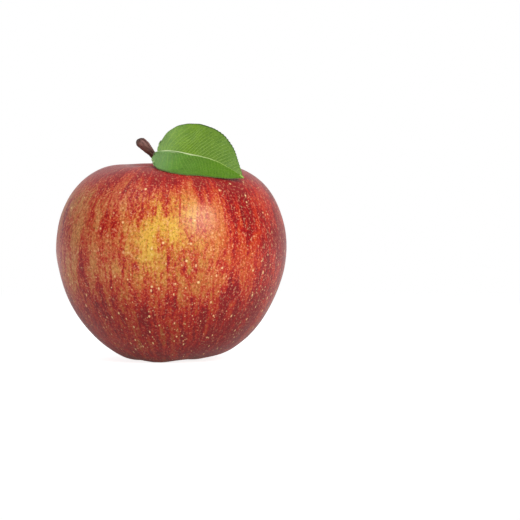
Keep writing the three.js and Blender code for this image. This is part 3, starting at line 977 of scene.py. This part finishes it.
# side veins, fading towards the margin
waver = times(maths(tree, "SUBTRACT", noise(tree, flat, 0.004, 1.0), 0.5), 0.35)
phase = maths(tree, "FRACT", maths(tree, "ADD", times(vein_along, VEINS), waver))
from_vein = maths(tree, "ABSOLUTE", maths(tree, "SUBTRACT", phase, 0.5))
side_vein = times(ease(tree, from_vein, 0.16, 0.02), ease(tree, out, 1.0, 0.35, 0.3, 1.0))
# the midrib is a pale line that thins towards the tip
rib_half = ease(tree, flat_x, 0.0, LEAF_LENGTH, 0.00030, 0.00005)
rib_share = maths(tree, "DIVIDE", maths(tree, "ABSOLUTE", flat_y), rib_half)
main_vein = ease(tree, rib_share, 1.35, 0.7)
# the net of small veins between them
cells = {"Vector": flat, "Scale": 1 / 0.0007}
net = node(tree, "TexVoronoi", cells, feature="DISTANCE_TO_EDGE").outputs["Distance"]
net = ease(tree, net, 0.10, 0.02)
mottle = noise(tree, flat, 0.0045, 3.0, 0.6)
fine = noise(tree, flat, 0.0006, 2.0, 0.6)
# the back half greys towards its tip: its own green with a painted sheen over it
back_tone = mix(tree, ease(tree, flat_x, 0.004, 0.026), BACK_BASE, BACK_TIP_WITH_SHEEN)
front_tone = mix(tree, ease(tree, flat_x, 0.006, 0.024), FRONT_BASE, FRONT_TIP)
halves = ease(tree, flat_y, -0.0004, 0.0004)
blade = mix(tree, halves, front_tone, back_tone)
blade = mix(tree, ease(tree, mottle, 0.35, 0.75, 0.0, 0.6), blade, MOTTLE)
blade = mix(tree, ease(tree, fine, 0.4, 0.65, 0.0, 0.45), blade, FINE_MOTTLE)
pale_base = ease(tree, flat_x, 0.011, -0.001)
blade = mix(tree, times(pale_base, 0.4), blade, PALE_BASE)
blade = mix(tree, times(under, 0.8), blade, UNDER)
vein_strength = ease(tree, halves, 0, 1, 0.22, 0.36)
vein_strength = maths(tree, "MAXIMUM", vein_strength, times(under, 0.8))
vein_strength = times(vein_strength, ease(tree, flat_x, 0.012, 0.026, 1.0, 0.75))
vein_tone = mix(tree, under, VEIN, UNDER_VEIN)
blade = mix(tree, times(side_vein, vein_strength), blade, vein_tone)
net_strength = ease(tree, under, 0, 1, 0.14, 0.3)
blade = mix(tree, times(net, net_strength), blade, vein_tone)
edge = times(ease(tree, out, 0.95, 0.985), ease(tree, halves, 0, 1, 0.3, 0.8))
blade = mix(tree, edge, blade, MARGIN)
rib_tone = mix(tree, ease(tree, flat_x, 0.002, 0.028), RIB_BASE, RIB_TIP)
blade = mix(tree, times(main_vein, 0.95), blade, rib_tone)
vein_height = ease(tree, under, 0, 1, -0.00006, 0.0001)  # furrows above, ridges below
relief = total(times(side_vein, vein_height), times(fine, 0.00003), times(net, -0.00002))
roughness = total(ease(tree, fine, 0.3, 0.7, 0.40, 0.52), times(under, 0.2))
fill_shader(tree, shader, blade, roughness, relief, strength=0.8)
shader.inputs["Specular IOR Level"].default_value = 0.3
leaf.data.materials.clear()
leaf.data.materials.append(green)
for face in leaf.data.polygons:
    face.material_index = 0

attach(leaf, "root")
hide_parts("leaf")

# ------------------------------------------------------------ calyx
# The dry rest of the flower in the eye: five downy sepals that lean in and curl back, with
# ten stamens and the joined styles inside them. All of it grew there and withered in place.

SEPAL_RING = 0.002125  # radius of the ring that the sepals stand on
SEPAL_HEIGHT = 0.0065
SEPAL_LENGTH = 0.0052
SEPAL_HALF = 0.00093  # half of a sepal's width at its foot
SEPAL_WIDTHS = (1.0, 1.0, 0.97, 0.9, 0.8, 0.66, 0.5, 0.34, 0.18, 0.05)  # as shares of it
SEPAL_LIFTS = (0.00003, 0.00012, 0.00028)  # that its rows are cupped by, out to its margin
SEPAL_THICKNESS = 0.00022
SEPAL_AZIMUTHS = [70, 142, 214, 286, 358]
SEPAL_LINE = [  # how far out from the ring, and down as a share of the length
    (0, 0),
    (0.0001, 0.2),
    (-0.0003, 0.45),
    (-0.00015, 0.68),
    (0.00114, 0.84),
]
STAMEN_RING = 0.00109
STAMEN_TOP = 0.00821
STAMEN_AZIMUTHS = [36 * i + 9 for i in range(10)]
STAMEN_SHRUNK = 0.82  # length of every other one, as a share
THREAD_LENGTH, THREAD_RINGS = 0.0034, 8  # of a stamen below its anther
STYLES_TOP = 0.008975
STYLE_AZIMUTHS = [72 * i + 20 for i in range(5)]
STYLE_RINGS = 7


def copies(pattern, base_name, azimuths):
    """Copies of a piece, each with its own mesh, turned about the fruit's axis."""
    made = []
    for number, azimuth in enumerate(azimuths, 1):
        twin = pattern.copy()
        twin.data = pattern.data.copy()
        twin.name = f"{base_name}_{number}"
        scene.collection.objects.link(twin)
        select_only(twin)
        twin.rotation_euler = (0, 0, math.radians(azimuth))
        bpy.ops.object.transform_apply(location=False, rotation=True, scale=True)
        made.append(twin)
    bpy.data.objects.remove(pattern)
    bpy.ops.object.select_all(action="DESELECT")
    return made


# one sepal, drawn flat along +X, cupped, and bent down along its own line
last, rows = len(SEPAL_WIDTHS) - 1, len(SEPAL_LIFTS)
sepal, grid = flat_sheet("sepal_pattern", SEPAL_LENGTH, SEPAL_HALF, last, rows)
for number, share in enumerate(SEPAL_WIDTHS):
    pick_cells(sepal, grid, lambda column, row: column == number)
    middle = (number * SEPAL_LENGTH / last, 0, 0)
    bpy.ops.transform.resize(value=(1, share, 1), center_override=middle)
for number, lift in enumerate(SEPAL_LIFTS, 1):
    pick_cells(sepal, grid, lambda column, row: abs(row) == number and column > 1)
    bpy.ops.transform.translate(value=(0, 0, lift))
pick_cells(sepal, grid, lambda column, row: row == 0)
bpy.ops.transform.translate(value=(0, 0, -0.00006))
notched = range(3, last, 2)
pick_cells(sepal, grid, lambda column, row: abs(row) == rows and column in notched)
bpy.ops.transform.resize(value=(1, 1.12, 1), center_override=(0, 0, 0))
bpy.ops.object.mode_set(mode="OBJECT")
rounded(sepal, 1)
lumpy(sepal, "withered", size=0.0011, depth=1, strength=0.0004)
keep_straight_place(sepal)
fall = [(SEPAL_RING + out, SEPAL_HEIGHT - down * SEPAL_LENGTH) for out, down in SEPAL_LINE]
bend_along(sepal, [(out, 0, height) for out, height in fall], "POS_X")
finish_with(sepal, "SOLIDIFY", thickness=SEPAL_THICKNESS, offset=0)
rounded(sepal, 1)
smooth(sepal)
sepals = copies(sepal, "sepal_dry", SEPAL_AZIMUTHS)

# one stamen: a bent thread with the shrivelled anther at its end
profile = [(0.00007, 0.0), (0.00015, 0.0001)]
for i in range(1, THREAD_RINGS + 1):
    share = i / THREAD_RINGS
    profile.append((0.00012 - 0.00004 * share, share * THREAD_LENGTH))
profile += [
    (0.00018, 0.00352),
    (0.00026, 0.0037),
    (0.00024, 0.0039),
    (0.00026, 0.0040),
    (0.00018, 0.00416),
    (0.00005, 0.0042),
]
stamen = turned_form(profile, 8)
stamen.name = "stamen_pattern"
# the anther has two lobes: it is pinched across
pick(lambda place: place.z > 0.0035 and abs(place.y) < 0.00005)
bpy.ops.transform.resize(value=(0.55, 1, 1), center_override=(0, 0, 0.0039))
bpy.ops.object.mode_set(mode="OBJECT")
rounded(stamen, 1)
keep_straight_place(stamen)
bend_along(
    stamen,
    [
        (STAMEN_RING, 0, STAMEN_TOP),
        (STAMEN_RING + 0.00004, 0.00006, STAMEN_TOP - 0.0014),
        (STAMEN_RING - 0.00010, -0.00005, STAMEN_TOP - 0.0028),
        (STAMEN_RING - 0.00018, 0, STAMEN_TOP - 0.0043),
    ],
)
smooth(stamen)
stamens = copies(stamen, "stamen_dry", STAMEN_AZIMUTHS)
shorter = {"value": (1, 1, STAMEN_SHRUNK), "center_override": (0, 0, STAMEN_TOP)}
for twin in stamens[1::2]:
    bpy.context.view_layer.objects.active = twin
    bpy.ops.object.mode_set(mode="EDIT")
    bpy.ops.mesh.select_all(action="SELECT")
    bpy.ops.transform.resize(**shorter)
    bpy.ops.object.mode_set(mode="OBJECT")

# the styles are joined at the foot and part into five tips
profile = [(0.00008, 0.0), (0.00017, 0.0001)]
for i in range(1, STYLE_RINGS):
    share = i / STYLE_RINGS
    profile.append((0.00016 - 0.00005 * share, share * 0.0042 + 0.0002))
profile += [(0.00016, 0.0043), (0.00017, 0.00448), (0.00006, 0.0046)]
threads = []
for azimuth in map(math.radians, STYLE_AZIMUTHS):
    spread = Vector((math.cos(azimuth), math.sin(azimuth), 0))
    thread = turned_form(profile, 7)
    bpy.ops.object.mode_set(mode="OBJECT")
    rounded(thread, 1)
    keep_straight_place(thread)
    bend_along(
        thread,
        [
            Vector((0, 0, STYLES_TOP)) + spread * 0.00020,
            Vector((0, 0, STYLES_TOP - 0.0018)) + spread * 0.00018,
            Vector((0, 0, STYLES_TOP - 0.0034)) + spread * 0.00024,
            Vector((0, 0, STYLES_TOP - 0.0046)) + spread * 0.00027,
        ],
    )
    threads.append(thread)
select_only(*threads)
bpy.ops.object.join()
styles = threads[0]
styles.name = "styles_dry"
smooth(styles)

dry, tree, shader = finish_named("dry_flower")
place = node(tree, "Attribute", attribute_name="straight").outputs["Vector"]
whole = node(tree, "TexCoord").outputs["Object"]
fibres = noise(tree, vector(tree, "MULTIPLY", place, (0.2, 1, 1)), 0.0003, 3.0, 0.65)
blotches = noise(tree, whole, 0.0016, 2.0, 0.5)
fuzz = noise(tree, whole, 0.00018, 2.0, 0.7)
husk = mix(tree, ease(tree, fibres, 0.35, 0.68), colour(88, 64, 44), colour(172, 142, 102))
husk = mix(tree, ease(tree, blotches, 0.5, 0.7, 0.0, 0.5), husk, colour(128, 116, 86))
husk = mix(tree, ease(tree, fuzz, 0.55, 0.8, 0.0, 0.5), husk, colour(206, 190, 160))
relief = total(times(fibres, 0.00005), times(fuzz, 0.00003))
roughness = ease(tree, fuzz, 0.3, 0.7, 0.75, 0.95)
fill_shader(tree, shader, husk, roughness, relief, strength=1.0)
shader.inputs["Sheen Weight"].default_value = 0.3

for part, replaced in (
    [(twin, f"sepal_{i}") for i, twin in enumerate(sepals, 1)]
    + [(twin, f"stamen_{i}") for i, twin in enumerate(stamens, 1)]
    + [(styles, "styles")]
):
    part.data.materials.append(dry)
    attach(part, "root")
    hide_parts(replaced)
